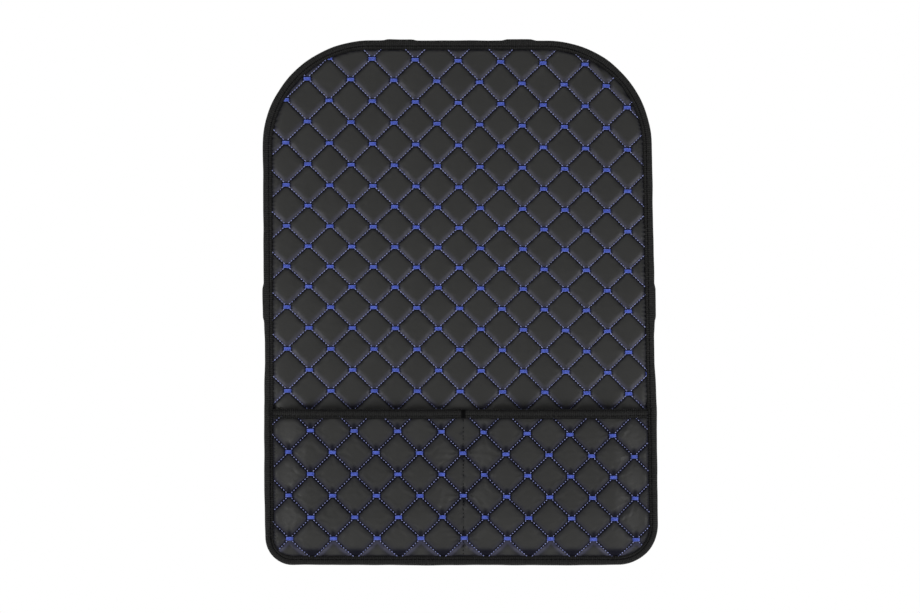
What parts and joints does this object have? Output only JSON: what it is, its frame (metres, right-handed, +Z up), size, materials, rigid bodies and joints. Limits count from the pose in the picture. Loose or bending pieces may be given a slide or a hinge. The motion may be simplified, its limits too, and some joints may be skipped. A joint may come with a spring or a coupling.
{
  "type": "car seat back organizer",
  "caption": "Quilted black faux-leather mat that hangs on the back of a car seat, with taped edges and a slack pocket across its foot, divided by a seam.",
  "frame": {"origin": "middle of the seat band's rear face, at half the mat's height", "axes": "+Z up the mat to the headrest end, +X across it, -Y out of its quilted face and +Y towards the seat"},
  "size_m": [0.4527, 0.0216, 0.6015],
  "materials": {
    "faux_leather": "satin",
    "binding_tape": "matt",
    "blue_thread": "satin",
    "black_thread": "matt",
    "elastic": "matt",
    "lining": "matt"
  },
  "bodies": {
    "root": {"back_panel": "faux_leather", "pocket_panel": "faux_leather", "edge_binding": "binding_tape", "mouth_binding": "binding_tape", "divider_seam": "black_thread", "divider_tack": "black_thread", "seat_band": "elastic", "headrest_band": "elastic"}
  },
  "joints": []
}
